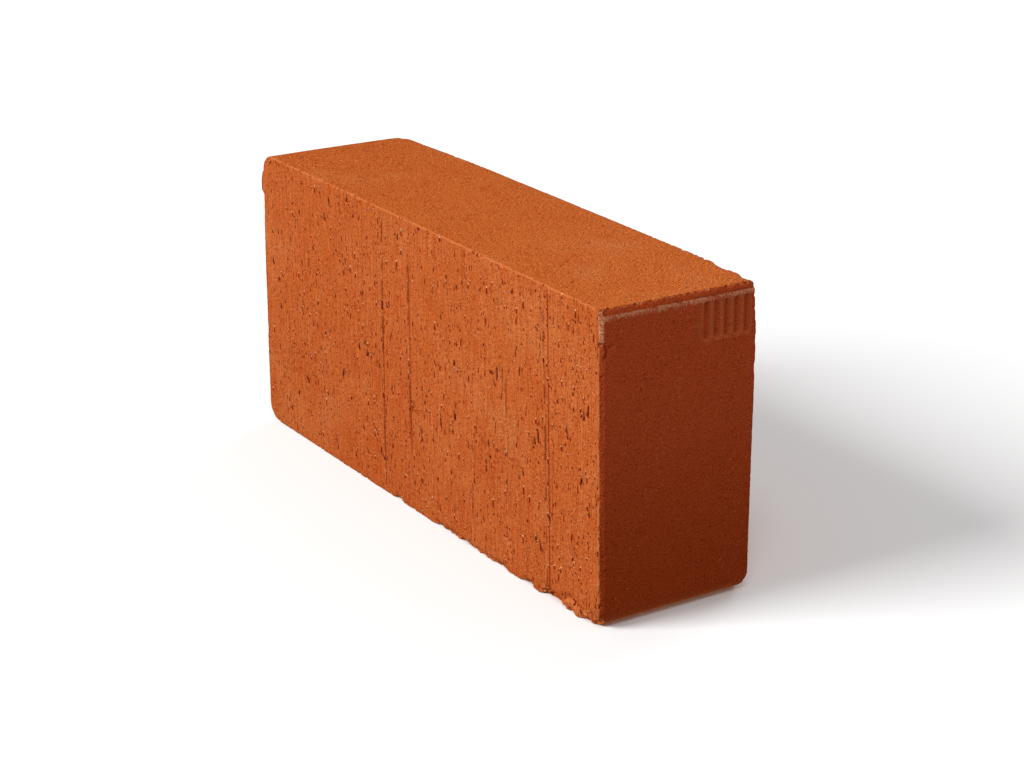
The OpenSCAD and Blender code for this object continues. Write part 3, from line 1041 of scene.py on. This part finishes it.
near_foot = between(spot_z, start=2.8, end=1.2)
foot_level = lumps((0.9, 1.2, 0.8), detail=3.0, shift=31.0)
foot_scuff = product(near_foot, between(foot_level, start=0.53, end=0.62), FOOT_SCUFF_STRENGTH)
lower_scuff = maths("MAXIMUM", ridge_scuff, foot_scuff)
scuff = maths("MAXIMUM", lower_scuff, maths("MAXIMUM", strip_scuff, head_scuff))
scuff = product(scuff, between(fine_grain, start=0.34, end=0.56, low_out=0.45))
colour = tint(product(scuff, on_marked_end, SCUFF_STRENGTH), colour, SCUFF)
links.new(colour, shader.inputs["Base Color"])

# Relief finer than the mesh, in millimetres, and a dry matt skin.
END_RELIEF_LOSS = -0.35
FINE_RELIEF = 0.12
ROUGHNESS = 0.84
ROUGHNESS_GRAIN = 0.14
SHINE = 0.03
wire_relief_fine = weighted(
    (stripes, 0.16), (scratches, -0.15), (long_slits, -0.50), (short_slits, -0.32),
    (nicks, -0.20), (coarse_grain, 0.30))
die_relief_fine = weighted((strokes, 0.58), (die_dots, -0.36), (dimples, -0.42), (coarse_grain, 0.44))
relief = weighted(
    (wire_relief_fine, on_wire_face), (die_relief_fine, off_wire_face), (fine_grain, FINE_RELIEF))
relief = product(relief, maths("MULTIPLY_ADD", on_end, END_RELIEF_LOSS, 1.0))
bump = nodes.new("ShaderNodeBump")
bump.inputs["Distance"].default_value = MM
links.new(relief, bump.inputs["Height"])
links.new(bump.outputs["Normal"], shader.inputs["Normal"])
fill(shader.inputs["Roughness"], weighted((coarse_grain, ROUGHNESS_GRAIN), (ROUGHNESS, 1.0)))
shader.inputs["Specular IOR Level"].default_value = SHINE
merged.materials.clear()
merged.materials.append(fired_clay)

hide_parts("brick")
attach(brick, "root")

# ------------------------------ the floor
# A plain pale floor, flat and matt, far wider than the brick that stands on it. It throws no
# light back up at the brick.
FLOOR_HALF = 6.0
FLOOR_PAINT = (0.93, 0.93, 0.93, 1)
floor_mesh = bpy.data.meshes.new("floor")
floor_mesh.from_pydata(
    [(-FLOOR_HALF, -FLOOR_HALF, 0), (FLOOR_HALF, -FLOOR_HALF, 0),
     (FLOOR_HALF, FLOOR_HALF, 0), (-FLOOR_HALF, FLOOR_HALF, 0)], [], [(0, 1, 2, 3)])
floor = bpy.data.objects.new("floor", floor_mesh)
bpy.context.scene.collection.objects.link(floor)
floor_paint = bpy.data.materials.new("floor_paint")
floor_paint.use_nodes = True
floor_shader = floor_paint.node_tree.nodes["Principled BSDF"]
floor_shader.inputs["Base Color"].default_value = FLOOR_PAINT
floor_shader.inputs["Roughness"].default_value = 1.0
floor_shader.inputs["Specular IOR Level"].default_value = 0.0
floor_mesh.materials.append(floor_paint)
floor.visible_diffuse = False

# ------------------------------ the lamps
# A white room and three wide soft lamps. The strong main one stands high in front and a little
# to the left, so that the marked end is in shade. A weak one hangs above the marked end, and
# another stands low down behind the brick.
ROOM_WHITE = (1, 1, 1, 1)
ROOM_STRENGTH = 0.28
world = bpy.data.worlds.new("white_room")
bpy.context.scene.world = world
world.use_nodes = True
world.node_tree.nodes["Background"].inputs["Color"].default_value = ROOM_WHITE
world.node_tree.nodes["Background"].inputs["Strength"].default_value = ROOM_STRENGTH


def lamp(name, towards, distance, size, power):
    """A square soft lamp that shines on the middle of the brick from the given direction."""
    light = bpy.data.lights.new(name, "AREA")
    light.shape = "SQUARE"
    light.size = size
    light.energy = power
    stand = bpy.data.objects.new(name, light)
    direction = Vector(towards).normalized()
    stand.location = Vector((0, 0, high[2] * MM / 2)) + direction * distance
    stand.rotation_euler = direction.to_track_quat("Z", "Y").to_euler()
    bpy.context.scene.collection.objects.link(stand)


lamp("main_lamp", towards=(-0.22, -0.80, 0.56), distance=4.0, size=1.7, power=187)
lamp("side_lamp", towards=(0.45, -0.28, 0.85), distance=3.0, size=1.0, power=20)
lamp("back_lamp", towards=(-0.35, 0.85, 0.25), distance=3.0, size=1.6, power=40)

# ------------------------------ the camera
# The camera looks along the brick from past its marked end, a little to the front and a little
# above it. Its place is in metres, its turn in degrees, and its lens and sensor in millimetres.
CAMERA_PLACE = (0.710416, -0.454181, 0.369342)
CAMERA_TURN = (69.1248, 0.1673, 56.6797)
CAMERA_LENS = 80.50
CAMERA_SENSOR = 36.0
camera = bpy.data.cameras.new("camera")
camera.lens = CAMERA_LENS
camera.sensor_width = CAMERA_SENSOR
camera_stand = bpy.data.objects.new("camera", camera)
camera_stand.location = CAMERA_PLACE
camera_stand.rotation_mode = "XYZ"
camera_stand.rotation_euler = [math.radians(turn) for turn in CAMERA_TURN]
bpy.context.scene.collection.objects.link(camera_stand)
bpy.context.scene.camera = camera_stand
bpy.context.scene.view_settings.view_transform = "Standard"
